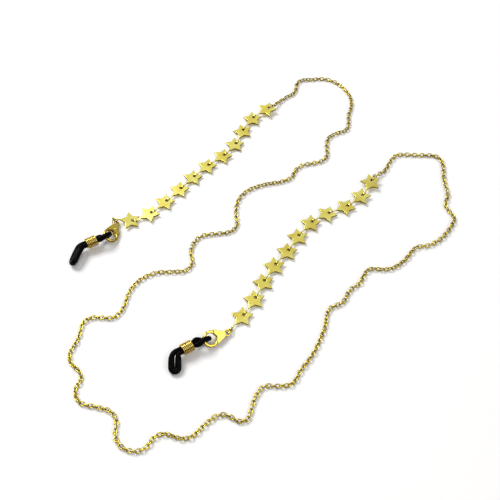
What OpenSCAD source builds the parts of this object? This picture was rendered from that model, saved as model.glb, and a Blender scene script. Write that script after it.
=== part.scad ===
// Eyeglasses chain strap, laid out on a table: two rubber temple loops with coil sleeves, two
// lobster clasps, two strands of eleven star plates, and one long cable chain between them.
// Millimetres, +Z up, the table is the plane z = 0, the origin is the middle of the footprint.

/* [Star plates] */
// Radius of a star, from its centre to a point
star_r = 4.2; // [4.0:0.05:4.25]
// Radius of a star's notches
notch_r = 2.2; // [2.15:0.05:2.3]
// Thickness of a star plate
star_t = 0.7; // [0.5:0.05:0.7]
// Radius of the hole near the chain-side notch
star_hole_r = 0.64; // [0.6:0.01:0.66]
// Distance between two linked stars
star_pitch = 8.25; // [8.2:0.05:8.6]
// Width of the tail strip that hooks into the next star
tail_w = 0.5; // [0.4:0.05:0.5]

/* [Jump rings] */
// Wire of the jump rings
ring_wire = 0.42; // [0.38:0.02:0.44]
// Radius of the jump rings, to the middle of the wire
ring_r = 1.15; // [1.1:0.05:1.25]

/* [Cable chain] */
// Wire of the chain links
link_wire = 0.42; // [0.36:0.02:0.42]
// Outer width of a link
link_w = 1.7; // [1.6:0.05:1.8]
// Chain length that one link adds
link_pitch = 1.5; // [1.5:0.05:1.6]

/* [Lobster clasps] */
// Outer radius of the hook's round end
clasp_r = 3.0; // [2.95:0.05:3.05]
// Width of the hook's bar, seen from above
hook_bar = 1.0; // [0.9:0.05:1.0]
// Thickness of the hook's bar
hook_t = 1.1; // [1.0:0.05:1.1]
// Thickness of the lever housing
housing_t = 2.0; // [1.9:0.05:2.2]

/* [Temple loops] */
// Radius of the rubber cord
rubber_r = 1.1; // [1.0:0.05:1.1]
// Outer radius of the coil sleeve
coil_r = 2.1; // [2.1:0.05:2.2]
// Wire of the coil sleeve
coil_wire = 0.54; // [0.48:0.02:0.54]
// Turns of the coil sleeve
coil_turns = 7; // [4:1:7]

/* [Hidden] */
RUNS = 12;

gold = [0.93, 0.76, 0.28];
deep_gold = [0.80, 0.62, 0.18];
black_rubber = [0.05, 0.05, 0.06];

// Star: the bar is the metal between the hole and the notch, which the next star's tail wraps.
bar_w = 0.6;
bar_x = notch_r - bar_w / 2;
hole_x = notch_r - bar_w - star_hole_r;
tail_x = star_pitch - bar_x;
eye_in = 0.55;
eye_out = 0.8;
shank_t = 0.24;

// Headings and pitches of the stars, in degrees, from the clasp to the chain.
RIGHT_HEADING = [52, 60, 67, 58, 52, 60, 49, 31, 24, 42, 62];
RIGHT_PITCH = [0, 2, -2, 2, -1, -1, 2, -2, 1, 2, 5];
RIGHT_START = [-9.8, -36.5, 1.0];
LEFT_HEADING = [-2, 33, 49, 50, 52, 46, 40, 56, 70, 57, 34];
LEFT_PITCH = [-7, 1, -1, 1, -2, 1, 1, -2, 1, 2, 5];
LEFT_START = [-53.55, 6.5, 1.3];
// Moves the layout so that its footprint is centred on the origin.
CENTRE = [0.3, 0, 0];

// Cable chain: its route on the table, from the left strand to the right one.
ROUTE = [
    [6, 72], [9, 75], [12, 77], [13.5, 80.5], [13.7, 83], [15, 85], [17.3, 86], [20.5, 86], [25, 86.5],
    [30, 85], [34.5, 80.5], [37, 75], [37, 69], [35.5, 64], [35, 58], [33.5, 55], [29, 53], [26, 50.5],
    [25, 46], [25, 41], [23, 38], [19, 36.5], [14.5, 35.5], [11.5, 32.5], [9.5, 28.5], [5, 26.5],
    [0, 25.5], [-5.5, 23.5], [-9.5, 20.5], [-12, 16], [-12.5, 10], [-12, 5], [-14.5, 1.5], [-20, 0.5],
    [-25.5, -0.5], [-28.5, -4], [-29.5, -8.5], [-28.5, -13], [-31, -16.5], [-36, -17], [-42, -17.5],
    [-47.5, -20.5], [-51, -25.5], [-52.5, -32], [-54, -35], [-56, -36.8], [-59.5, -36.8],
    [-63.2, -36.6], [-65.8, -37.9], [-66.9, -40], [-67.1, -42.8], [-68, -47], [-69.5, -50.5],
    [-69, -54.5], [-65.5, -58], [-64.5, -61], [-66, -65], [-64, -69.5], [-58.5, -71], [-53.5, -72.5],
    [-51, -76], [-51, -81], [-48.5, -85], [-44, -86.5], [-40.5, -85], [-38, -81.5], [-34.5, -80.5],
    [-30, -82], [-26, -81.5], [-21.5, -77], [-18, -74.2], [-15.3, -73.8], [-13.4, -74.5],
    [-11.8, -75.7], [-10, -76.3], [-8.1, -75.7], [-7.1, -74.1], [-6.5, -71.5], [-5.6, -68.6],
    [-4.2, -65.7], [-2, -63.5], [3, -63.5], [7.5, -62.5], [10.5, -57.5], [14.5, -52], [17, -47],
    [19.5, -41], [20.5, -36], [21.4, -33.6], [23.2, -31.9], [25.4, -31.2], [27.5, -29.3],
    [28.7, -26.5], [31, -23.8], [33.2, -22.4], [34.6, -20], [35.9, -17.5], [38, -15.7], [43, -16],
    [47, -15], [51.5, -11.5], [56, -6], [61, -5], [66, -2], [69.5, 2], [71.8, 5.5], [72.8, 8],
    [71.8, 10.6], [70.5, 13.2], [70.5, 16], [72, 20], [71.5, 27], [72, 33], [72, 37.5], [69.5, 40.5],
    [62, 41], [54, 41], [50.5, 37], [48, 32.5]];
// The chain's height above the table, and the height of the rings that lift its two ends.
lay_z = 0.88;
end_run = 7;

// Chain ring: how far its plane leans from lying flat.
ring_lean = 65;
// Clasp ring: its rise towards the clasp, and its lean.
RIGHT_RING = [232, 10, 30];
LEFT_RING = [300, -15, 35];
// How far the first star's tail eye turns to meet the clasp ring.
RIGHT_EYE_YAW = 0;
LEFT_EYE_YAW = -45;
// Clasp: heading from its eye to its hook, rise, and roll.
RIGHT_CLASP = [208, 9, -25];
LEFT_CLASP = [257, 9, 150];
// Where the rubber loop sits on the hook, in degrees round it.
RIGHT_SEAT = -13;
LEFT_SEAT = 42;

// Clasp: plan of the hook and of its opening, the lever's pivot, and the reach of the lever.
hook_x = 6.4;
neck_x = 2.3;
neck_r = 1.4;
open_r = clasp_r - hook_bar;
open_neck_x = 4.9;
open_neck_r = 0.7;
clasp_eye_r = 1.3;
clasp_eye_hole = 0.8;
clasp_eye_t = 0.9;
pivot = [3.1, -0.75];
gate_x = 4.8;
pivot_r = 0.4;
hub_r = 1.0;
lever_t = 1.1;
slot_t = 1.2;
reach = 4.3;
lever_gap = 0.08;

// Temple loop: where its coil sleeve starts, measured from the hook's bar, how far the sleeve can
// slide from there, and the loop's length. The sleeve squeezes the cord's two strands together.
RIGHT_COIL = 4.3;
LEFT_COIL = 3.3;
coil_travel = 1.0;
U_R = 1.85;
squeezed = 0.77;
tip_w = 1.22;
tip_end = 17.1;
// Heading, rise and roll of the loop along its length from the bar.
RIGHT_LOOP_HEADING = [[0, 200], [2.6, 211], [10, 211], [12, 266], [17.1, 278]];
RIGHT_LOOP_RISE = [[0, 8], [3, 0], [10, 0], [12.2, -16], [14.6, -24], [17.1, -12]];
RIGHT_LOOP_ROLL = [[0, 65], [0.6, 62], [2.6, 18], [4, 12], [10, 8], [17, 0]];
LEFT_LOOP_HEADING = [[0, 212], [1.6, 204], [3, 207], [8.9, 207], [10.7, 246], [17.1, 260]];
LEFT_LOOP_RISE = [[0, 4], [2.4, -3], [9.2, -3], [11, -9], [17.1, -5]];
LEFT_LOOP_ROLL = [[0, 62], [0.6, 58], [2.6, 24], [3.2, 20], [9.2, 20], [11.5, 40], [17, 48]];

function two(i) = str(i < 10 ? "0" : "", i);

// ---- Directions and places ----
function aim(heading, rise) =
    [cos(rise) * cos(heading), cos(rise) * sin(heading), sin(rise)];
function left_of(heading) = [-sin(heading), cos(heading), 0];
function local_y(t) = cos(t[2]) * left_of(t[0]) + sin(t[2]) * cross(aim(t[0], t[1]), left_of(t[0]));
function local_z(t) = cross(aim(t[0], t[1]), local_y(t));
// Where a point of a piece turned by t = [heading, rise, roll] about p ends up.
function placed(p, t, v) = p + v[0] * aim(t[0], t[1]) + v[1] * local_y(t) + v[2] * local_z(t);
module place(p, t) {
    translate(p) rotate([0, 0, t[0]]) rotate([0, -t[1], 0]) rotate([t[2], 0, 0]) children();
}

// ---- Star strands ----
function next_star(p, h0, r0, h1, r1) = p + bar_x * aim(h0, r0) + tail_x * aim(h1, r1);
function star_centres(start, h, r) =
    [for (i = 0, p = start; i < len(h);
        p = i + 1 < len(h) ? next_star(p, h[i], r[i], h[i + 1], r[i + 1]) : p, i = i + 1) p];
RIGHT_STARS = star_centres(RIGHT_START + CENTRE, RIGHT_HEADING, RIGHT_PITCH);
LEFT_STARS = star_centres(LEFT_START + CENTRE, LEFT_HEADING, LEFT_PITCH);
function heading(side) = side == "left" ? LEFT_HEADING : RIGHT_HEADING;
function rise(side) = side == "left" ? LEFT_PITCH : RIGHT_PITCH;
function stars(side) = side == "left" ? LEFT_STARS : RIGHT_STARS;
function bar_point(side, i) = stars(side)[i] + bar_x * aim(heading(side)[i], rise(side)[i]);
function tail_point(side) = stars(side)[0] - tail_x * aim(heading(side)[0], rise(side)[0]);

// ---- Jump rings ----
function hole_point(side) = stars(side)[10] + hole_x * aim(heading(side)[10], rise(side)[10]);
function chain_ring_turn(side) = [heading(side)[10], 0, side == "left" ? ring_lean : -ring_lean];
function chain_ring_centre(side) = hole_point(side) + ring_r * aim(heading(side)[10], 0);
function chain_ring_far(side) = hole_point(side) + 2 * ring_r * aim(heading(side)[10], 0);
function clasp_ring_turn(side) = side == "left" ? LEFT_RING : RIGHT_RING;
function eye_yaw(side) = side == "left" ? LEFT_EYE_YAW : RIGHT_EYE_YAW;
function clasp_ring_centre(side) =
    tail_point(side) + ring_r * aim(clasp_ring_turn(side)[0], clasp_ring_turn(side)[1]);

// ---- Clasps ----
function clasp_turn(side) = side == "left" ? LEFT_CLASP : RIGHT_CLASP;
function clasp_eye(side) =
    tail_point(side) + 2 * ring_r * aim(clasp_ring_turn(side)[0], clasp_ring_turn(side)[1]);
hook_mid = clasp_r - hook_bar / 2;
function seat(side) = side == "left" ? LEFT_SEAT : RIGHT_SEAT;
function loop_point(side) = placed(clasp_eye(side), clasp_turn(side),
    [hook_x + hook_mid * cos(seat(side)), hook_mid * sin(seat(side)), 0]);

// ---- Cable chain ----
function blend(a, b, c, d, t) =
    0.5 * (2 * b + (c - a) * t + (2 * a - 5 * b + 4 * c - d) * t * t + (3 * b - a - 3 * c + d) * t * t * t);
function at_end(p, i) = p[max(0, min(len(p) - 1, i))];
function smooth(p, n) =
    concat([for (i = [0:len(p) - 2], k = [0:n - 1])
        blend(at_end(p, i - 1), p[i], p[i + 1], at_end(p, i + 2), k / n)], [p[len(p) - 1]]);
function flat(p) = [p[0], p[1]];
function first_joint(side) = flat(chain_ring_far(side)) - (link_wire + 0.08) / 2 * flat(aim(heading(side)[10], 0));
LINE = smooth(concat([first_joint("left")], [for (p = ROUTE) p + flat(CENTRE)], [first_joint("right")]), 6);
ALONG = [for (i = 0, s = 0; i < len(LINE);
    s = i + 1 < len(LINE) ? s + norm(LINE[i + 1] - LINE[i]) : s, i = i + 1) s];
LINE_X = [for (i = [0:len(LINE) - 1]) [ALONG[i], LINE[i][0]]];
LINE_Y = [for (i = [0:len(LINE) - 1]) [ALONG[i], LINE[i][1]]];
chain_length = ALONG[len(ALONG) - 1];
LINKS = round(chain_length / link_pitch / 2) * 2;
step = chain_length / LINKS;
left_z = chain_ring_far("left")[2];
right_z = chain_ring_far("right")[2];
LINE_Z = [[0, left_z], [end_run, lay_z], [chain_length - end_run, lay_z], [chain_length, right_z]];
function on_chain(s) = [lookup(s, LINE_X), lookup(s, LINE_Y), lookup(s, LINE_Z)];
function heading_of(v) = atan2(v[1], v[0]);
function rise_of(v) = atan2(v[2], norm([v[0], v[1]]));
// Links lean as they like along the chain, each a quarter turn from the one before.
function link_roll(i) = let (along = i / (LINKS - 1)) -25 + 90 * (i % 2) + 90 * along + 28 * sin(3240 * along);
function run_start(k) = round(LINKS * (k - 1) / RUNS);
function fold_point(k) = on_chain(run_start(k) * step);
function fold_heading(k) = heading_of(on_chain((run_start(k) + 1) * step) - on_chain((run_start(k) - 1) * step));
link_long = link_pitch + 2 * link_wire + 0.08;
bend_r = (link_w - link_wire) / 2;
straight = link_long - link_w;

// ---- Sweeping a ring of points along a path ----
// rings is a list of equal rings of points; loop joins the last to the first.
function quads(a, b, n) = [for (j = [0:n - 1]) each
    [[a + j, b + j, b + (j + 1) % n], [a + j, b + (j + 1) % n, a + (j + 1) % n]]];
module skin(rings, closed) {
    n = len(rings[0]);
    m = len(rings);
    sides = [for (i = [0:m - (closed ? 1 : 2)]) each quads(i * n, ((i + 1) % m) * n, n)];
    caps = closed ? [] : [[for (j = [0:n - 1]) j], [for (j = [0:n - 1]) m * n - 1 - j]];
    polyhedron([for (r = rings) each r], concat(sides, caps), convexity = 6);
}

// ---- Sub-parts ----
module star(side, i) {
    h = heading(side)[i];
    // The eye lies square to the star before it, and the shank bends to meet this star.
    yaw = i == 0 ? eye_yaw(side) : heading(side)[i - 1] - h;
    color(gold) place(stars(side)[i], [h, rise(side)[i], 0]) {
        difference() {
            union() {
                linear_extrude(star_t, center = true)
                    polygon([for (k = [0:9]) (k % 2 ? star_r : notch_r) * [cos(36 * k), sin(36 * k)]]);
                translate([-(tail_x + star_r - 0.6) / 2, 0, 0])
                    cube([tail_x - star_r + 0.6, tail_w, shank_t], center = true);
                translate([-tail_x, 0, 0]) rotate([0, 0, yaw]) rotate([90, 0, 0])
                    cylinder(r = eye_out, h = tail_w, center = true, $fn = 32);
            }
            translate([-tail_x, 0, 0]) rotate([0, 0, yaw]) rotate([90, 0, 0])
                cylinder(r = eye_in, h = tail_w + 2, center = true, $fn = 32);
            translate([hole_x, 0, 0]) cylinder(r = star_hole_r, h = 2, center = true, $fn = 32);
        }
    }
}

module jump_ring(p, t) {
    color(gold) place(p, t) rotate_extrude($fn = 48) translate([ring_r, 0]) circle(r = ring_wire / 2, $fn = 16);
}

module link() {
    for (e = [0, 180]) rotate([0, 0, e]) {
        translate([straight / 2, 0, 0])
            rotate_extrude(angle = 180, start = -90, $fn = 24) translate([bend_r, 0]) circle(r = link_wire / 2, $fn = 16);
        translate([0, bend_r, 0]) rotate([0, 90, 0])
            cylinder(r = link_wire / 2, h = straight, center = true, $fn = 16);
    }
}

module chain_run(k) {
    color(deep_gold) for (i = [run_start(k):run_start(k + 1) - 1]) {
        a = on_chain(i * step);
        b = on_chain((i + 1) * step);
        place((a + b) / 2, [heading_of(b - a), rise_of(b - a), link_roll(i)]) link();
    }
}

module teardrop(big_x, big_r, small_x, small_r) {
    lean = (big_r - small_r) / (big_x - small_x);
    n = [-lean, sqrt(1 - lean * lean)];
    translate([big_x, 0]) circle(r = big_r, $fn = 64);
    translate([small_x, 0]) circle(r = small_r, $fn = 48);
    polygon([[big_x + big_r * n[0], big_r * n[1]], [small_x + small_r * n[0], small_r * n[1]],
        [small_x + small_r * n[0], -small_r * n[1]], [big_x + big_r * n[0], -big_r * n[1]]]);
}
module clasp_outline() { teardrop(hook_x, clasp_r, neck_x, neck_r); }
module clasp_opening() { teardrop(hook_x, open_r, open_neck_x, open_neck_r); }

module clasp_body(side) {
    color(gold) place(clasp_eye(side), clasp_turn(side)) difference() {
        union() {
            cylinder(r = clasp_eye_r, h = clasp_eye_t, center = true, $fn = 48);
            linear_extrude(hook_t, center = true) clasp_outline();
            intersection() {
                linear_extrude(housing_t, center = true) clasp_outline();
                translate([-1, -5, -2]) cube([1 + gate_x, 10, 4]);
            }
        }
        cylinder(r = clasp_eye_hole, h = 6, center = true, $fn = 48);
        linear_extrude(4, center = true) clasp_opening();
        // The gate that the lever closes ends on an arc about the pivot.
        intersection() {
            translate([pivot[0], pivot[1], 0]) cylinder(r = reach, h = 6, center = true, $fn = 96);
            translate([gate_x, -6, -3]) cube([5, 5.8, 6]);
        }
        translate([pivot[0], pivot[1], 0]) cylinder(r = hub_r + lever_gap, h = slot_t, center = true, $fn = 48);
        translate([pivot[0], -4, -slot_t / 2]) cube([gate_x - pivot[0] + 0.2, 4.25, slot_t]);
        translate([pivot[0], pivot[1], 0]) cylinder(r = pivot_r + 0.01, h = 6, center = true, $fn = 32);
    }
}

module clasp_lever(side) {
    color(gold) place(clasp_eye(side), clasp_turn(side)) difference() {
        union() {
            translate([pivot[0], pivot[1], 0]) cylinder(r = hub_r, h = lever_t, center = true, $fn = 48);
            intersection() {
                linear_extrude(lever_t, center = true) difference() {
                    clasp_outline();
                    clasp_opening();
                }
                translate([pivot[0], pivot[1], 0]) cylinder(r = reach - lever_gap, h = 3, center = true, $fn = 96);
                translate([pivot[0] + 0.3, -6, -1]) cube([5, 5.6, 2]);
            }
            translate([4.0, -2.25, 0]) cylinder(r = 0.6, h = lever_t, center = true, $fn = 32);
        }
        translate([pivot[0], pivot[1], 0]) cylinder(r = pivot_r + 0.05, h = 3, center = true, $fn = 32);
        translate([pivot[0], pivot[1], 0]) cylinder(r = 0.8, h = 0.6, center = true, $fn = 32);
    }
}

module clasp_rivet(side) {
    color(deep_gold) place(clasp_eye(side), clasp_turn(side)) translate([pivot[0], pivot[1], 0]) {
        cylinder(r = pivot_r, h = housing_t, center = true, $fn = 32);
        for (e = [0, 180]) rotate([e, 0, 0]) translate([0, 0, housing_t / 2]) cylinder(r = 0.55, h = 0.12, $fn = 32);
    }
}

// A helix about z, centred on the origin.
function helix(radius, wire, pitch, turns, per_turn, sides) =
    [for (i = [0:turns * per_turn]) let (a = 360 * i / per_turn, z = pitch * (i / per_turn - turns / 2))
        [for (j = [0:sides - 1]) let (b = -360 * j / sides)
            [(radius + wire / 2 * cos(b)) * cos(a), (radius + wire / 2 * cos(b)) * sin(a), z + wire / 2 * sin(b)]]];

module clasp_spring(side) {
    color(deep_gold) place(clasp_eye(side), clasp_turn(side)) translate([pivot[0], pivot[1], 0])
        skin(helix(0.62, 0.18, 0.19, 2, 14, 6), false);
}

// ---- Temple loop: an arched axis, and a closed cord that runs round it ----
function loop_heading(side) = side == "left" ? LEFT_LOOP_HEADING : RIGHT_LOOP_HEADING;
function loop_rise(side) = side == "left" ? LEFT_LOOP_RISE : RIGHT_LOOP_RISE;
function loop_roll(side) = side == "left" ? LEFT_LOOP_ROLL : RIGHT_LOOP_ROLL;
function loop_turn(side, s) =
    [lookup(s, loop_heading(side)), lookup(s, loop_rise(side)), lookup(s, loop_roll(side))];
axis_step = 0.1;
function axis_points(side) =
    [for (s = 0, p = loop_point(side); s < 20;
        p = p + axis_step * aim(loop_turn(side, s)[0], loop_turn(side, s)[1]), s = s + axis_step) [s, p]];
function axis_table(points, k) = [for (q = points) [q[0], q[1][k]]];
function on_axis(tables, side, s) = s < 0
    ? loop_point(side) + s * aim(loop_turn(side, 0)[0], loop_turn(side, 0)[1])
    : [lookup(s, tables[0]), lookup(s, tables[1]), lookup(s, tables[2])];
CORD_SIDES = 10;
function coil_start(side) = side == "left" ? LEFT_COIL : RIGHT_COIL;
function neck_start(side) = coil_start(side) - 0.3;
function neck_end(side) = coil_start(side) + coil_length + coil_travel;
// Half of the loop's plan, as [distance from the hook's bar, half-width].
function half_plan(side) = let (a = neck_start(side), b = neck_end(side)) [
    [-U_R, 0], [-1.3, 1.3], [0, U_R], [0.4 * a, 1.65], [0.75 * a, 1.15], [a, squeezed],
    [(2 * a + b) / 3, squeezed], [(a + 2 * b) / 3, squeezed], [b, squeezed], [b + 1.4, 1],
    [b + 3, 1.18], [tip_end - 2.45, tip_w], [tip_end - 1.25, tip_w], [tip_end - 0.37, 0.88], [tip_end, 0]];
// The cord's half-thickness across the loop, and through it, along the loop.
function cord_across(side) = let (a = neck_start(side), b = neck_end(side))
    [[0, 0.92], [0.75 * a, 0.9], [a, 0.7], [b, 0.7], [b + 1.4, 0.9], [b + 3, rubber_r]];
function cord_deep(side) = let (a = neck_start(side), b = neck_end(side))
    [[0, 0.92], [0.75 * a, 1], [a, 1.05], [b, 1.05], [b + 3, rubber_r]];
function loop_plan(side) = let (half = half_plan(side), n = len(half))
    concat(half, [for (i = [n - 2:-1:1]) [half[i][0], -half[i][1]]]);
function wrap(p, i) = p[(i + len(p)) % len(p)];
function smooth_loop(p, n) = [for (i = [0:len(p) - 1], k = [0:n - 1])
    blend(wrap(p, i - 1), p[i], wrap(p, i + 1), wrap(p, i + 2), k / n)];
module temple_loop(side) {
    points = axis_points(side);
    tables = [for (k = [0:2]) axis_table(points, k)];
    plan = smooth_loop(loop_plan(side), 2);
    wide = cord_across(side);
    thick = cord_deep(side);
    m = len(plan);
    mid = [for (q = plan) on_axis(tables, side, q[0]) + q[1] * local_y(loop_turn(side, q[0]))];
    rings = [for (i = [0:m - 1])
        let (q = plan[i], deep = local_z(loop_turn(side, q[0])), way = wrap(mid, i + 1) - wrap(mid, i - 1),
            across = cross(deep, way) / norm(cross(deep, way)), thin = cross(way, across) / norm(way))
        [for (j = [0:CORD_SIDES - 1]) let (b = -360 * j / CORD_SIDES)
            mid[i] + lookup(q[0], wide) * cos(b) * across + lookup(q[0], thick) * sin(b) * thin]];
    color(black_rubber) skin(rings, true);
}

function coil_turn(side) = loop_turn(side, coil_start(side) + 2);
coil_pitch = coil_wire + 0.03;
coil_length = coil_turns * coil_pitch + coil_wire;
function coil_centre(side) = let (points = axis_points(side))
    on_axis([for (k = [0:2]) axis_table(points, k)], side, coil_start(side) + coil_length / 2);
module coil_sleeve(side) {
    color(gold) place(coil_centre(side), coil_turn(side)) rotate([0, 90, 0])
        skin(helix(coil_r - coil_wire / 2, coil_wire, coil_pitch, coil_turns, 18, 8), false);
}

for (k = [1:RUNS]) chain_run(k);
for (side = ["left", "right"]) {
    for (i = [1:11]) star(side, i - 1);
    jump_ring(chain_ring_centre(side), chain_ring_turn(side));
    jump_ring(clasp_ring_centre(side), clasp_ring_turn(side));
    clasp_body(side);
    clasp_lever(side);
    clasp_rivet(side);
    clasp_spring(side);
    temple_loop(side);
    coil_sleeve(side);
}
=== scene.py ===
"""The looks of an eyeglasses chain strap, laid on a white table. Sizes are millimetres in the row frame."""

import math

import bmesh
import bpy
import numpy as np
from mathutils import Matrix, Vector
from mathutils.geometry import tessellate_polygon


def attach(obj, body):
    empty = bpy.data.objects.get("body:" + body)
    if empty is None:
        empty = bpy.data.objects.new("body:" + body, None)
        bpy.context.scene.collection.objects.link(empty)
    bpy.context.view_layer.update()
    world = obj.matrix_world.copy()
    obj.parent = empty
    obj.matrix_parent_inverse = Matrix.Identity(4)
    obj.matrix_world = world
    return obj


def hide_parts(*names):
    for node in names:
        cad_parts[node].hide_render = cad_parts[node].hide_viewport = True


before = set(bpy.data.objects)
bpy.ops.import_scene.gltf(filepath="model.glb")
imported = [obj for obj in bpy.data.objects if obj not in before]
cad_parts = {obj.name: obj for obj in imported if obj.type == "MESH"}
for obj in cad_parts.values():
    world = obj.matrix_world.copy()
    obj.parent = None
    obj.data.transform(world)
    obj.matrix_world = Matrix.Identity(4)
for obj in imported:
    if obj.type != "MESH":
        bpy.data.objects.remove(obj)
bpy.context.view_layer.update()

MM = 0.001
# A flat rim inside each rounded edge keeps a plate's face free of shading from the edge.
RIM = 0.02
SIDES = ("left", "right")

# ---- Layout, the same as the CAD part ----
CENTRE = (0.3, 0.0, 0.0)
HEADINGS = {
    "right": (52, 60, 67, 58, 52, 60, 49, 31, 24, 42, 62),
    "left": (-2, 33, 49, 50, 52, 46, 40, 56, 70, 57, 34),
}
RISES = {
    "right": (0, 2, -2, 2, -1, -1, 2, -2, 1, 2, 5),
    "left": (-7, 1, -1, 1, -2, 1, 1, -2, 1, 2, 5),
}
STARTS = {"right": (-9.8, -36.5, 1.0), "left": (-53.55, 6.5, 1.3)}
ROUTE = (
    (6, 72), (9, 75), (12, 77), (13.5, 80.5), (13.7, 83), (15, 85), (17.3, 86), (20.5, 86), (25, 86.5),
    (30, 85), (34.5, 80.5), (37, 75), (37, 69), (35.5, 64), (35, 58), (33.5, 55), (29, 53), (26, 50.5),
    (25, 46), (25, 41), (23, 38), (19, 36.5), (14.5, 35.5), (11.5, 32.5), (9.5, 28.5), (5, 26.5),
    (0, 25.5), (-5.5, 23.5), (-9.5, 20.5), (-12, 16), (-12.5, 10), (-12, 5), (-14.5, 1.5), (-20, 0.5),
    (-25.5, -0.5), (-28.5, -4), (-29.5, -8.5), (-28.5, -13), (-31, -16.5), (-36, -17), (-42, -17.5),
    (-47.5, -20.5), (-51, -25.5), (-52.5, -32), (-54, -35), (-56, -36.8), (-59.5, -36.8),
    (-63.2, -36.6), (-65.8, -37.9), (-66.9, -40), (-67.1, -42.8), (-68, -47), (-69.5, -50.5),
    (-69, -54.5), (-65.5, -58), (-64.5, -61), (-66, -65), (-64, -69.5), (-58.5, -71), (-53.5, -72.5),
    (-51, -76), (-51, -81), (-48.5, -85), (-44, -86.5), (-40.5, -85), (-38, -81.5), (-34.5, -80.5),
    (-30, -82), (-26, -81.5), (-21.5, -77), (-18, -74.2), (-15.3, -73.8), (-13.4, -74.5),
    (-11.8, -75.7), (-10, -76.3), (-8.1, -75.7), (-7.1, -74.1), (-6.5, -71.5), (-5.6, -68.6),
    (-4.2, -65.7), (-2, -63.5), (3, -63.5), (7.5, -62.5), (10.5, -57.5), (14.5, -52), (17, -47),
    (19.5, -41), (20.5, -36), (21.4, -33.6), (23.2, -31.9), (25.4, -31.2), (27.5, -29.3),
    (28.7, -26.5), (31, -23.8), (33.2, -22.4), (34.6, -20), (35.9, -17.5), (38, -15.7), (43, -16),
    (47, -15), (51.5, -11.5), (56, -6), (61, -5), (66, -2), (69.5, 2), (71.8, 5.5), (72.8, 8),
    (71.8, 10.6), (70.5, 13.2), (70.5, 16), (72, 20), (71.5, 27), (72, 33), (72, 37.5), (69.5, 40.5),
    (62, 41), (54, 41), (50.5, 37), (48, 32.5),
)
LAY_Z = 0.88
END_RUN = 7.0
RUNS = 12

# ---- Stars ----
STAR_R = 4.2
NOTCH_R = 2.2
STAR_T = 0.7
HOLE_R = 0.64
PITCH = 8.25
TAIL_W = 0.5
BAR_W = 0.6
BAR_X = NOTCH_R - BAR_W / 2
HOLE_X = NOTCH_R - BAR_W - HOLE_R
TAIL_X = PITCH - BAR_X

# ---- Rings and links ----
RING_WIRE = 0.42
RING_R = 1.15
RING_LEAN = 65
LINK_WIRE = 0.42
LINK_W = 1.7
LINK_PITCH = 1.5
LINK_LONG = LINK_PITCH + 2 * LINK_WIRE + 0.08

# ---- Clasps: turns are heading, rise and roll in degrees ----
RINGS = {"right": (232, 10, 30), "left": (300, -15, 35)}
EYE_YAW = {"right": 0, "left": -45}
CLASPS = {"right": (208, 9, -25), "left": (257, 9, 150)}
SEATS = {"right": -13, "left": 42}
CLASP_R = 3.0
HOOK_BAR = 1.0
HOOK_X = 6.4
NECK_X = 2.3
NECK_R = 1.4
OPEN_R = CLASP_R - HOOK_BAR
OPEN_NECK_X = 4.9
OPEN_NECK_R = 0.7
EYE_R = 1.3
EYE_HOLE = 0.8
EYE_T = 0.9
HOOK_T = 1.1
HOUSING_T = 2.0
CHEEK_T = 0.4
PIVOT = (3.1, -0.75)
RIVET_R = 0.4
RIVET_HEAD_R = 0.55
RIVET_HEAD_T = 0.24
HUB_R = 1.0
NUB = (4.0, -2.25, 0.6)
SPRING_R = 0.62
SPRING_WIRE = 0.18
GATE_X = 4.8
# Where the fixed hook's tip and the lever's tip end, outside and inside, in degrees round the hook.
HOOK_TIP = (-82.5, -64.5)
LEVER_TIP = (-85, -67.5)

# ---- Temple loops: distances are measured along the loop from the hook's bar ----
RUBBER_R = 1.1
U_R = 1.85
SQUEEZED = 0.77
TIP_W = 1.22
TIP_END = 17.1
LOOP_HEADING = {
    "right": ((0, 200), (2.6, 211), (10, 211), (12, 266), (17.1, 278)),
    "left": ((0, 212), (1.6, 204), (3, 207), (8.9, 207), (10.7, 246), (17.1, 260)),
}
LOOP_RISE = {
    "right": ((0, 8), (3, 0), (10, 0), (12.2, -16), (14.6, -24), (17.1, -12)),
    "left": ((0, 4), (2.4, -3), (9.2, -3), (11, -9), (17.1, -5)),
}
LOOP_ROLL = {
    "right": ((0, 65), (0.6, 62), (2.6, 18), (4, 12), (10, 8), (17, 0)),
    "left": ((0, 62), (0.6, 58), (2.6, 24), (3.2, 20), (9.2, 20), (11.5, 40), (17, 48)),
}
AXIS_STEP = 0.1
COIL_START = {"right": 4.3, "left": 3.3}
COIL_TRAVEL = 1.0
COIL_R = 2.1
COIL_WIRE = 0.54
COIL_TURNS = 7
COIL_PITCH = COIL_WIRE + 0.03
COIL_LENGTH = COIL_TURNS * COIL_PITCH + COIL_WIRE

# ---- Camera ----
CAMERA_AT = (-6.7, -181.0, 247.3)
CAMERA_DOWN = 54.8
CAMERA_ANGLE = 34.9
SKY_STRENGTH = 0.85
TABLE_HALF_M = 3


# ---- Directions and places ----
def aim(heading, rise=0.0):
    h, r = math.radians(heading), math.radians(rise)
    return np.array((math.cos(r) * math.cos(h), math.cos(r) * math.sin(h), math.sin(r)))


def axes(turn):
    """The three local axes, as rows, of a piece turned to a heading, a rise and a roll."""
    heading, rise, roll = turn
    x = aim(heading, rise)
    left = aim(heading + 90)
    up = np.cross(x, left)
    c, s = math.cos(math.radians(roll)), math.sin(math.radians(roll))
    y = c * left + s * up
    return np.array((x, y, np.cross(x, y)))


def place(part, at, turn):
    points, faces = part
    return np.asarray(points) @ axes(turn) + np.asarray(at), faces


def look_up(table, s):
    return float(np.interp(s, [row[0] for row in table], [row[1] for row in table]))


def star_centres(side):
    headings, rises = HEADINGS[side], RISES[side]
    centres = [np.array(STARTS[side]) + np.array(CENTRE)]
    for i in range(1, len(headings)):
        bar = centres[-1] + BAR_X * aim(headings[i - 1], rises[i - 1])
        centres.append(bar + TAIL_X * aim(headings[i], rises[i]))
    return centres


STARS = {side: star_centres(side) for side in SIDES}


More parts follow.
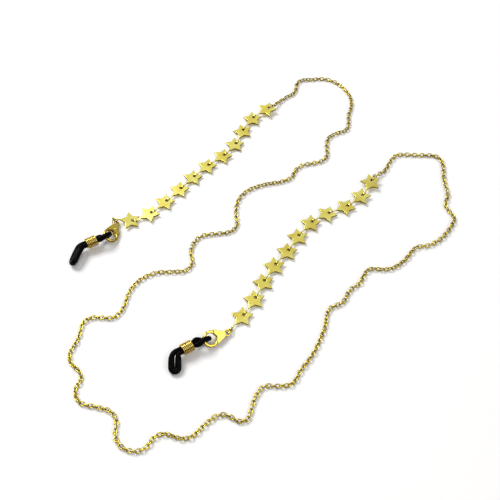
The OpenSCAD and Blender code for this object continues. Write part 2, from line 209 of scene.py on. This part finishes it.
def tail_point(side):
    return STARS[side][0] - TAIL_X * aim(HEADINGS[side][0], RISES[side][0])


def hole_point(side):
    return STARS[side][10] + HOLE_X * aim(HEADINGS[side][10], RISES[side][10])


def clasp_eye(side):
    return tail_point(side) + 2 * RING_R * aim(RINGS[side][0], RINGS[side][1])


# ---- The chain's line, resampled by arc length ----
def blend(a, b, c, d, t):
    cube = 3 * b + d - a - 3 * c
    return 0.5 * (2 * b + (c - a) * t + (2 * a - 5 * b + 4 * c - d) * t * t + cube * t ** 3)


def smooth(points, n, closed=False):
    p = np.asarray(points, float)
    count = len(p)
    out = []
    for i in range(count if closed else count - 1):
        ids = [i - 1, i, i + 1, i + 2]
        ids = [j % count for j in ids] if closed else [min(max(j, 0), count - 1) for j in ids]
        out += [blend(*p[ids], k / n) for k in range(n)]
    return np.array(out if closed else out + [p[-1]])


def chain_end(side):
    far = hole_point(side) + 2 * RING_R * aim(HEADINGS[side][10])
    return far - (LINK_WIRE + 0.08) / 2 * aim(HEADINGS[side][10])


ENDS = {side: chain_end(side) for side in SIDES}
shifted = [(x + CENTRE[0], y + CENTRE[1]) for x, y in ROUTE]
LINE = smooth([ENDS["left"][:2], *shifted, ENDS["right"][:2]], 6)
ALONG = np.concatenate(([0.0], np.cumsum(np.linalg.norm(np.diff(LINE, axis=0), axis=1))))
CHAIN_LENGTH = float(ALONG[-1])
LINKS = round(CHAIN_LENGTH / LINK_PITCH / 2) * 2
STEP = CHAIN_LENGTH / LINKS
LINE_Z = (
    (0, ENDS["left"][2]),
    (END_RUN, LAY_Z),
    (CHAIN_LENGTH - END_RUN, LAY_Z),
    (CHAIN_LENGTH, ENDS["right"][2]),
)


def on_chain(s):
    return np.array((np.interp(s, ALONG, LINE[:, 0]), np.interp(s, ALONG, LINE[:, 1]), look_up(LINE_Z, s)))


def run_start(k):
    return int(LINKS * (k - 1) / RUNS + 0.5)


def link_roll(i):
    along = i / (LINKS - 1)
    return -25 + 90 * (i % 2) + 90 * along + 28 * math.sin(math.radians(3240 * along))


# ---- Mesh parts: each is (points, faces) ----
def join(parts):
    points, faces, start = [], [], 0
    for p, f in parts:
        points.append(np.asarray(p, float))
        faces += [tuple(start + i for i in face) for face in f]
        start += len(p)
    return np.concatenate(points), faces


def skin(rings, closed):
    """Joins equal rings of points into a tube; an open one gets flat ends."""
    m, n = len(rings), len(rings[0])
    faces = []
    for i in range(m if closed else m - 1):
        a, b = i * n, (i + 1) % m * n
        faces += [(a + j, a + (j + 1) % n, b + (j + 1) % n, b + j) for j in range(n)]
    if not closed:
        faces += [tuple(range(n - 1, -1, -1)), tuple(range((m - 1) * n, m * n))]
    return np.concatenate(rings), faces


def tube(line, across, up, half_across, half_up, sides, closed):
    """A tube with an elliptical section along line; across and up are unit vectors at each point."""
    rings = []
    for i, p in enumerate(line):
        angles = np.linspace(0, 2 * math.pi, sides, endpoint=False)
        rings.append(
            p
            + np.outer(np.cos(angles), across[i]) * half_across[i]
            + np.outer(np.sin(angles), up[i]) * half_up[i]
        )
    return skin(rings, closed)


def flat_loop(line, wire, sides):
    """A closed wire whose centreline lies in its own x-y plane."""
    line = np.asarray(line, float)
    ahead = np.roll(line, -1, 0) - np.roll(line, 1, 0)
    out = np.stack((ahead[:, 1], -ahead[:, 0]), 1) / np.linalg.norm(ahead, axis=1)[:, None]
    flat = np.column_stack((line, np.zeros(len(line))))
    across = np.column_stack((out, np.zeros(len(line))))
    up = np.tile((0.0, 0.0, 1.0), (len(line), 1))
    half = np.full(len(line), wire / 2)
    return tube(flat, across, up, half, half, sides, True)


def circle(x, y, r, n, start=0.0, sweep=360.0):
    full = abs(sweep) >= 360
    angles = np.radians(start + np.linspace(0, sweep, n, endpoint=not full))
    return np.column_stack((x + r * np.cos(angles), y + r * np.sin(angles)))


def inset(loop, distance):
    """Moves a loop towards the metal, which is on the left of its direction."""
    loop = np.asarray(loop, float)
    edge = np.roll(loop, -1, 0) - loop
    left = np.stack((-edge[:, 1], edge[:, 0]), 1) / np.linalg.norm(edge, axis=1)[:, None]
    before = np.roll(left, 1, 0)
    miter = (left + before) / (1 + (left * before).sum(1))[:, None]
    return loop + distance * miter


def plate(loops, thickness, bevel, steps=3):
    """A flat plate with rounded edges. The first loop runs anticlockwise, and holes run clockwise."""
    half = thickness / 2
    parts = []
    for loop in loops:
        rings = []
        for k in range(steps + 1):
            a = math.pi / 2 * k / steps
            ring = inset(loop, bevel * (1 - math.sin(a)))
            rings.append(np.column_stack((ring, np.full(len(ring), half - bevel * (1 - math.cos(a))))))
        top = inset(loop, bevel + RIM)
        rings.insert(0, np.column_stack((top, np.full(len(top), half))))
        rings += [ring * (1, 1, -1) for ring in reversed(rings)]
        points, faces = skin(rings, True)
        n = len(loop)
        wall = faces[: (len(rings) - 1) * n]
        parts.append((points, [tuple(reversed(face)) for face in wall]))
    tops = [inset(loop, bevel + RIM) for loop in loops]
    flat = [[Vector((x, y, 0)) for x, y in loop] for loop in tops]
    triangles = tessellate_polygon(flat)
    points = np.concatenate(tops)
    for z, flip in ((half, False), (-half, True)):
        cap = []
        for a, b, c in triangles:
            ab, ac = points[b] - points[a], points[c] - points[a]
            upward = ab[0] * ac[1] - ab[1] * ac[0] > 0
            cap.append((a, b, c) if upward != flip else (a, c, b))
        parts.append((np.column_stack((points, np.full(len(points), z))), cap))
    return join(parts)


def around(points, cut, n):
    """Rounds the corners of a loop, starting each curve at distance cut from the corner."""
    p = np.asarray(points, float)
    out = []
    for i in range(len(p)):
        before, here, after = p[i - 1], p[i], p[(i + 1) % len(p)]
        c = cut[i] if hasattr(cut, "__len__") else cut
        a = here + (before - here) / np.linalg.norm(before - here) * c
        b = here + (after - here) / np.linalg.norm(after - here) * c
        out += [(1 - t) ** 2 * a + 2 * t * (1 - t) * here + t * t * b for t in np.linspace(0, 1, n)]
    return np.array(out)


def make(name, part, material, body, nodes, smooth_below=38):
    points, faces = part
    mesh = bpy.data.meshes.new(name)
    mesh.from_pydata((np.asarray(points) * MM).tolist(), [], faces)
    mesh.validate()
    mesh.materials.append(material)
    piece = bpy.data.objects.new(name, mesh)
    bpy.context.scene.collection.objects.link(piece)
    merge_doubles(mesh)
    mesh.shade_smooth()
    mesh.set_sharp_from_angle(angle=math.radians(smooth_below))
    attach(piece, body)
    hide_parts(*nodes)
    return piece


def merge_doubles(mesh):
    bm = bmesh.new()
    bm.from_mesh(mesh)
    bmesh.ops.remove_doubles(bm, verts=bm.verts, dist=0.002 * MM)
    bmesh.ops.recalc_face_normals(bm, faces=bm.faces)
    bm.to_mesh(mesh)
    bm.free()


# ---- Materials ----
def new_material(name):
    material = bpy.data.materials.new(name)
    material.use_nodes = True
    nodes, links = material.node_tree.nodes, material.node_tree.links
    return material, nodes, links, nodes["Principled BSDF"], nodes.new("ShaderNodeTexCoord")


def noise(nodes, links, coordinates, scale, detail):
    texture = nodes.new("ShaderNodeTexNoise")
    texture.inputs["Scale"].default_value = scale
    texture.inputs["Detail"].default_value = detail
    links.new(coordinates.outputs["Object"], texture.inputs["Vector"])
    return texture


def spread(nodes, links, texture, low, high):
    """Turns a noise texture's middle range into values from low to high."""
    node = nodes.new("ShaderNodeMapRange")
    node.inputs["From Min"].default_value = 0.35
    node.inputs["From Max"].default_value = 0.65
    node.inputs["To Min"].default_value = low
    node.inputs["To Max"].default_value = high
    links.new(texture.outputs["Fac"], node.inputs["Value"])
    return node


def two_tone(nodes, links, texture, first, second):
    ramp = nodes.new("ShaderNodeValToRGB")
    ramp.color_ramp.elements[0].position = 0.35
    ramp.color_ramp.elements[0].color = (*first, 1)
    ramp.color_ramp.elements[1].position = 0.65
    ramp.color_ramp.elements[1].color = (*second, 1)
    links.new(texture.outputs["Fac"], ramp.inputs["Fac"])
    return ramp


def bump(nodes, links, shader, texture, depth_mm, strength):
    node = nodes.new("ShaderNodeBump")
    node.inputs["Strength"].default_value = strength
    node.inputs["Distance"].default_value = depth_mm * MM
    links.new(texture.outputs["Fac"], node.inputs["Height"])
    links.new(node.outputs["Normal"], shader.inputs["Normal"])


def painted_shade_upright(nodes, links, coordinates, tone, shade):
    """The tone on faces that lie flat, going over to a painted shade on faces that stand upright at rest; the
    painted shade stands in for the dark surroundings that the metal would mirror.
    """
    facing = nodes.new("ShaderNodeSeparateXYZ")
    links.new(coordinates.outputs["Normal"], facing.inputs["Vector"])
    level = nodes.new("ShaderNodeMath")
    level.operation = "ABSOLUTE"
    links.new(facing.outputs["Z"], level.inputs[0])
    flatness = nodes.new("ShaderNodeMapRange")
    flatness.inputs["From Min"].default_value = 0.35
    flatness.inputs["From Max"].default_value = 0.75
    links.new(level.outputs["Value"], flatness.inputs["Value"])
    mix = nodes.new("ShaderNodeMix")
    mix.data_type = "RGBA"
    mix.inputs["A"].default_value = (*shade, 1)
    links.new(flatness.outputs["Result"], mix.inputs["Factor"])
    links.new(tone.outputs["Color"], mix.inputs["B"])
    return mix


def gold(name, pale, deep, shade, smoothest, roughest, patch, dent_mm):
    """Polished plating. Its upright faces carry a painted shade, coloured darker to stand in for the dark
    surroundings that the metal would mirror.
    """
    material, nodes, links, shader, coordinates = new_material(name)
    tone = two_tone(nodes, links, noise(nodes, links, coordinates, patch, 2), pale, deep)
    mix = painted_shade_upright(nodes, links, coordinates, tone, shade)
    links.new(mix.outputs["Result"], shader.inputs["Base Color"])
    grain = noise(nodes, links, coordinates, 2600, 3)
    rough = spread(nodes, links, grain, smoothest, roughest)
    links.new(rough.outputs["Result"], shader.inputs["Roughness"])
    bump(nodes, links, shader, noise(nodes, links, coordinates, 420, 1), dent_mm, 0.6)
    shader.inputs["Metallic"].default_value = 1.0
    return material


def rubber(name):
    material, nodes, links, shader, coordinates = new_material(name)
    texture = noise(nodes, links, coordinates, 500, 3)
    tone = two_tone(nodes, links, texture, (0.0012, 0.0012, 0.0012), (0.003, 0.003, 0.003))
    links.new(tone.outputs["Color"], shader.inputs["Base Color"])
    rough = spread(nodes, links, texture, 0.22, 0.32)
    shader.inputs["Specular IOR Level"].default_value = 0.03
    links.new(rough.outputs["Result"], shader.inputs["Roughness"])
    bump(nodes, links, shader, noise(nodes, links, coordinates, 1500, 2), 0.02, 0.4)
    return material


def table_top(name):
    material, nodes, links, shader, coordinates = new_material(name)
    tone = two_tone(nodes, links, noise(nodes, links, coordinates, 6, 2), (0.9, 0.9, 0.9), (0.92, 0.92, 0.92))
    links.new(tone.outputs["Color"], shader.inputs["Base Color"])
    shader.inputs["Roughness"].default_value = 0.7
    return material


# The third colour given to each gold is the painted shade on its upright faces, standing in for mirrored dark
# surroundings.
STAR_GOLD = gold(
    "star_gold", (1.0, 0.92, 0.25), (0.86, 0.72, 0.12), (0.1, 0.05, 0.008), 0.18, 0.26, 180, 0.03
)
CHAIN_GOLD = gold(
    "chain_gold", (0.95, 0.78, 0.09), (0.55, 0.4, 0.03), (0.07, 0.035, 0.003), 0.16, 0.24, 700, 0.01
)
CLASP_GOLD = gold(
    "clasp_gold", (0.95, 0.76, 0.14), (0.8, 0.6, 0.08), (0.22, 0.1, 0.015), 0.14, 0.24, 260, 0.05
)
COIL_GOLD = gold(
    "coil_gold", (0.9, 0.72, 0.2), (0.72, 0.53, 0.12), (0.4, 0.24, 0.05), 0.16, 0.26, 300, 0.02
)
STEEL = gold(
    "spring_steel", (0.7, 0.69, 0.66), (0.55, 0.54, 0.5), (0.3, 0.3, 0.28), 0.25, 0.35, 300, 0.02
)
BLACK = rubber("black_rubber")


# ---- Stars ----
def star_outline():
    corners = []
    cuts = []
    for k in range(10):
        r = NOTCH_R if k % 2 == 0 else STAR_R
        a = math.radians(36 * k)
        corners.append((r * math.cos(a), r * math.sin(a)))
        cuts.append(0.12 if k % 2 == 0 else 0.28)
    return around(corners, cuts, 5)


def star_part(yaw):
    hole = circle(HOLE_X, 0, HOLE_R, 32)[::-1]
    face = plate([star_outline(), hole], STAR_T, 0.1)
    x0, x1 = -TAIL_X + 0.6, -(STAR_R - 0.9)
    strip = around([(x0, -TAIL_W / 2), (x1, -TAIL_W / 2), (x1, TAIL_W / 2), (x0, TAIL_W / 2)], 0.05, 3)
    shank = plate([strip], 0.26, 0.06)
    eye = plate([circle(0, 0, 0.8, 32), circle(0, 0, 0.55, 32)[::-1]], TAIL_W, 0.05)
    # The eye stands on edge: its hole runs across the strand.
    upright = (eye[0] @ np.array(((1, 0, 0), (0, 0, 1), (0, -1, 0)), float), eye[1])
    return join([face, shank, place(upright, (-TAIL_X, 0, 0), (yaw, 0, 0))])


def build_stars():
    for side in SIDES:
        headings = HEADINGS[side]
        for i in range(11):
            if i == 0:
                yaw = EYE_YAW[side]
            else:
                yaw = headings[i - 1] - headings[i]
            part = place(star_part(yaw), STARS[side][i], (headings[i], RISES[side][i], 0))
            node = f"star_{side}_{i + 1:02d}"
            make(f"plated_{node}", part, STAR_GOLD, node, [node])


# ---- Rings and chain ----
def build_rings():
    for side in SIDES:
        heading = HEADINGS[side][10]
        lean = RING_LEAN if side == "left" else -RING_LEAN
        chain_ring = flat_loop(circle(0, 0, RING_R, 48), RING_WIRE, 14)
        spots = {
            f"chain_ring_{side}": (hole_point(side) + RING_R * aim(heading), (heading, 0, lean)),
            f"clasp_ring_{side}": (
                tail_point(side) + RING_R * aim(RINGS[side][0], RINGS[side][1]),
                RINGS[side],
            ),
        }
        for node, (at, turn) in spots.items():
            make(f"wire_{node}", place(chain_ring, at, turn), CHAIN_GOLD, node, [node])


def link_part():
    bend = (LINK_W - LINK_WIRE) / 2
    half = (LINK_LONG - LINK_W) / 2
    line = np.concatenate((circle(half, 0, bend, 12, -90, 180), circle(-half, 0, bend, 12, 90, 180)))
    return flat_loop(line, LINK_WIRE, 10)


def build_chain():
    link = link_part()
    for k in range(1, RUNS + 1):
        first, last = run_start(k), run_start(k + 1)
        parts = []
        for i in range(first, last):
            a, b = on_chain(i * STEP), on_chain((i + 1) * STEP)
            d = b - a
            heading = math.degrees(math.atan2(d[1], d[0]))
            rise = math.degrees(math.atan2(d[2], math.hypot(d[0], d[1])))
            parts.append(place(link, (a + b) / 2, (heading, rise, link_roll(i))))
        node = f"chain_run_{k:02d}"
        piece = make(f"links_{node}", join(parts), CHAIN_GOLD, node, [node])


# ---- Clasps, in a frame whose origin is the eye and whose +x runs to the hook ----
def tangent_angle(big_x, big_r, small_x, small_r):
    """Where the line that touches two circles from above meets each of them, in degrees."""
    return 180 - math.degrees(math.acos((big_r - small_r) / (big_x - small_x)))


def clasp_parts():
    lean = tangent_angle(HOOK_X, CLASP_R, NECK_X, NECK_R)
    open_lean = tangent_angle(HOOK_X, OPEN_R, OPEN_NECK_X, OPEN_NECK_R)
    # The fixed hook: round the outside from its tip to the neck, then back round the opening.
    hook = np.concatenate(
        [
            circle(HOOK_X, 0, CLASP_R, 50, HOOK_TIP[0], lean - HOOK_TIP[0]),
            circle(NECK_X, 0, NECK_R, 14, lean, 180 - lean),
            [(1.1, -0.2), (3.0, 0.3), (4.1, 0.25)],
            circle(OPEN_NECK_X, 0, OPEN_NECK_R, 6, 176, open_lean - 176),
            circle(HOOK_X, 0, OPEN_R, 44, open_lean, HOOK_TIP[1] - open_lean),
        ]
    )
    fixed = plate([hook], HOOK_T, 0.4, 5)
    eye = plate([circle(0, 0, EYE_R, 40), circle(0, 0, EYE_HOLE, 40)[::-1]], EYE_T, 0.2, 4)
    web = around([(0.95, -0.8), (2.0, -1.0), (2.0, 1.0), (0.95, 0.8)], 0.1, 3)
    neck_web = plate([web], EYE_T, 0.2)
    edge = math.degrees(math.acos((GATE_X - HOOK_X) / OPEN_R))
    # A cheek of the housing: round the neck, then up the side that faces the opening.
    cheek = np.concatenate(
        [
            circle(NECK_X, 0, NECK_R, 20, lean, 360 - 2 * lean),
            [(GATE_X, -2.55)],
            circle(HOOK_X, 0, OPEN_R, 4, -edge, edge - open_lean),
            circle(OPEN_NECK_X, 0, OPEN_NECK_R, 8, 360 - open_lean, 2 * open_lean - 360),
            circle(HOOK_X, 0, OPEN_R, 4, open_lean, edge - open_lean),
            [(GATE_X, 2.55)],
        ]
    )
    z = (HOUSING_T - CHEEK_T) / 2
    sides = [place(plate([cheek], CHEEK_T, 0.16, 4), (0, 0, h), (0, 0, 0)) for h in (-z, z)]
    return [fixed, eye, neck_web, *sides]


def lever_parts():
    lean = tangent_angle(HOOK_X, CLASP_R, NECK_X, NECK_R)
    hub = plate([circle(*PIVOT, HUB_R, 32)], HOOK_T, 0.12)
    arm = np.concatenate(
        [
            [(3.4, -1.95)],
            circle(HOOK_X, 0, CLASP_R, 14, -lean, lean + LEVER_TIP[0]),
            circle(HOOK_X, 0, OPEN_R, 24, LEVER_TIP[1], -150 - LEVER_TIP[1]),
            circle(OPEN_NECK_X, 0, OPEN_NECK_R, 4, -151, -20),
            [(3.4, -0.4)],
        ]
    )
    nub = plate([circle(*NUB, 24)], HOOK_T, 0.2, 4)
    return [hub, plate([arm], HOOK_T, 0.3, 4), nub]


def helix(radius, wire, pitch, turns, per_turn, sides):
    line, across, up = [], [], []
    for i in range(turns * per_turn + 1):
        a = 2 * math.pi * i / per_turn
        out = np.array((math.cos(a), math.sin(a), 0.0))
        line.append(radius * out + (0, 0, pitch * (i / per_turn - turns / 2)))
        across.append(out)
        up.append(np.array((0.0, 0.0, 1.0)))
    half = np.full(len(line), wire / 2)
    return tube(line, across, up, half, half, sides, False)


def build_clasps():
    for side in SIDES:
        at, turn = clasp_eye(side), CLASPS[side]

        def put(part):
            return place(part, at, turn)

        body = f"clasp_{side}"
        cast = put(join(clasp_parts()))
        make(f"cast_{body}", cast, CLASP_GOLD, body, [f"clasp_body_{side}"])
        lever = f"clasp_lever_{side}"
        make(f"cast_{lever}", put(join(lever_parts())), CLASP_GOLD, lever, [lever])
        pin = plate([circle(*PIVOT, RIVET_R, 24)], HOUSING_T, 0.05)
        head = plate([circle(*PIVOT, RIVET_HEAD_R, 24)], RIVET_HEAD_T, 0.1)
        heads = [place(head, (0, 0, z), (0, 0, 0)) for z in (-HOUSING_T / 2, HOUSING_T / 2)]
        rivet = f"clasp_rivet_{side}"
        make(f"turned_{rivet}", put(join([pin, *heads])), CLASP_GOLD, body, [rivet])
        coil, faces = helix(SPRING_R, SPRING_WIRE, SPRING_WIRE + 0.01, 2, 24, 8)
        spring = f"clasp_spring_{side}"
        wound = put((coil + (*PIVOT, 0), faces))
        make(f"wound_{spring}", wound, STEEL, body, [spring])


# ---- Temple loops ----
def loop_turn(side, s):
    return tuple(look_up(t[side], s) for t in (LOOP_HEADING, LOOP_RISE, LOOP_ROLL))


def loop_axis(side):
    a = math.radians(SEATS[side])
    r = CLASP_R - HOOK_BAR / 2
    seat = np.array((HOOK_X + r * math.cos(a), r * math.sin(a), 0))
    p = seat @ axes(CLASPS[side]) + clasp_eye(side)
    out = [p]
    for i in range(200):
        heading, rise, _ = loop_turn(side, i * AXIS_STEP)
        p = p + AXIS_STEP * aim(heading, rise)
        out.append(p)
    return np.array(out)


def on_axis(side, points, s):
    if s < 0:
        heading, rise, _ = loop_turn(side, 0)
        return points[0] + s * aim(heading, rise)
    stations = np.arange(len(points)) * AXIS_STEP
    return np.array([np.interp(s, stations, points[:, k]) for k in range(3)])


def neck(side):
    """Where the squeezed part of a loop starts and ends."""
    return COIL_START[side] - 0.3, COIL_START[side] + COIL_LENGTH + COIL_TRAVEL


def half_plan(side):
    """Half of the loop's plan: distance from the hook's bar, and half-width."""
    a, b = neck(side)
    return [
        (-U_R, 0), (-1.3, 1.3), (0, U_R), (0.4 * a, 1.65), (0.75 * a, 1.15), (a, SQUEEZED),
        ((2 * a + b) / 3, SQUEEZED), ((a + 2 * b) / 3, SQUEEZED), (b, SQUEEZED), (b + 1.4, 1),
        (b + 3, 1.18), (TIP_END - 2.45, TIP_W), (TIP_END - 1.25, TIP_W), (TIP_END - 0.37, 0.88), (TIP_END, 0),
    ]


def cord_across(side):
    a, b = neck(side)
    return (0, 0.92), (0.75 * a, 0.9), (a, 0.7), (b, 0.7), (b + 1.4, 0.9), (b + 3, RUBBER_R)


def cord_deep(side):
    a, b = neck(side)
    return (0, 0.92), (0.75 * a, 1), (a, 1.05), (b, 1.05), (b + 3, RUBBER_R)


def build_loops():
    for side in SIDES:
        points = loop_axis(side)
        half = half_plan(side)
        fine = smooth(half + [(s, -w) for s, w in half[-2:0:-1]], 8, closed=True)
        middle = np.array(
            [on_axis(side, points, s) + w * axes(loop_turn(side, s))[1] for s, w in fine]
        )
        across, up = [], []
        for i, (s, _) in enumerate(fine):
            deep = axes(loop_turn(side, s))[2]
            way = middle[(i + 1) % len(fine)] - middle[i - 1]
            side_on = np.cross(deep, way)
            across.append(side_on / np.linalg.norm(side_on))
            thin = np.cross(way, across[-1])
            up.append(thin / np.linalg.norm(thin))
        wide = [look_up(cord_across(side), s) for s, _ in fine]
        deep = [look_up(cord_deep(side), s) for s, _ in fine]
        node = f"temple_loop_{side}"
        part = tube(middle, across, up, wide, deep, 24, True)
        make(f"rubber_{node}", part, BLACK, node, [node], 60)
        node = f"coil_sleeve_{side}"
        coil, faces = helix(COIL_R - COIL_WIRE / 2, COIL_WIRE, COIL_PITCH, COIL_TURNS, 40, 14)
        # The helix's own axis is z; it is laid along the loop.
        lying = (coil @ np.array(((0, 0, -1), (0, 1, 0), (1, 0, 0)), float), faces)
        centre = on_axis(side, points, COIL_START[side] + COIL_LENGTH / 2)
        part = place(lying, centre, loop_turn(side, COIL_START[side] + 2))
        make(f"wire_{node}", part, COIL_GOLD, node, [node])


# ---- Table, light and camera ----
def build_stage():
    mesh = bpy.data.meshes.new("table_top")
    far = TABLE_HALF_M
    corners = [(-far, -far, 0), (far, -far, 0), (far, far, 0), (-far, far, 0)]
    mesh.from_pydata(corners, [], [(0, 1, 2, 3)])
    mesh.materials.append(table_top("white_table"))
    floor = bpy.data.objects.new("table_top", mesh)
    bpy.context.scene.collection.objects.link(floor)
    build_sky()
    add_light("key", (-0.35, 0.3, 0.6), 0.35, 4)
    add_light("fill", (0.45, -0.3, 0.6), 0.5, 1.2)


def build_sky():
    """A white sky that darkens towards the horizon, so that the metal has something dark to mirror."""
    world = bpy.data.worlds.new("soft_white")
    world.use_nodes = True
    nodes, links = world.node_tree.nodes, world.node_tree.links
    direction = nodes.new("ShaderNodeSeparateXYZ")
    links.new(nodes.new("ShaderNodeTexCoord").outputs["Generated"], direction.inputs["Vector"])
    ramp = nodes.new("ShaderNodeValToRGB")
    ramp.color_ramp.elements[0].position = 0.3
    ramp.color_ramp.elements[0].color = (0.06, 0.05, 0.04, 1)
    ramp.color_ramp.elements[1].position = 0.68
    ramp.color_ramp.elements[1].color = (1, 1, 1, 1)
    overhead = ramp.color_ramp.elements.new(0.88)
    overhead.color = (0.66, 0.64, 0.62, 1)
    links.new(direction.outputs["Z"], ramp.inputs["Fac"])
    links.new(ramp.outputs["Color"], nodes["Background"].inputs["Color"])
    nodes["Background"].inputs["Strength"].default_value = SKY_STRENGTH
    bpy.context.scene.world = world


def add_light(name, at, size, watts):
    data = bpy.data.lights.new(name, "AREA")
    data.size = size
    data.energy = watts
    lamp = bpy.data.objects.new(name, data)
    lamp.location = at
    lamp.rotation_euler = (-Vector(at)).to_track_quat("-Z", "Y").to_euler()
    bpy.context.scene.collection.objects.link(lamp)


def build_camera():
    data = bpy.data.cameras.new("camera")
    data.angle = math.radians(CAMERA_ANGLE)
    data.clip_start = 0.01
    data.clip_end = 10
    camera = bpy.data.objects.new("camera", data)
    camera.location = Vector(CAMERA_AT) * MM
    camera.rotation_euler = (math.radians(90 - CAMERA_DOWN), 0, 0)
    bpy.context.scene.collection.objects.link(camera)
    bpy.context.scene.camera = camera
    bpy.context.scene.view_settings.view_transform = "Standard"


build_camera()
build_chain()
build_stars()
build_rings()
build_clasps()
build_loops()
build_stage()
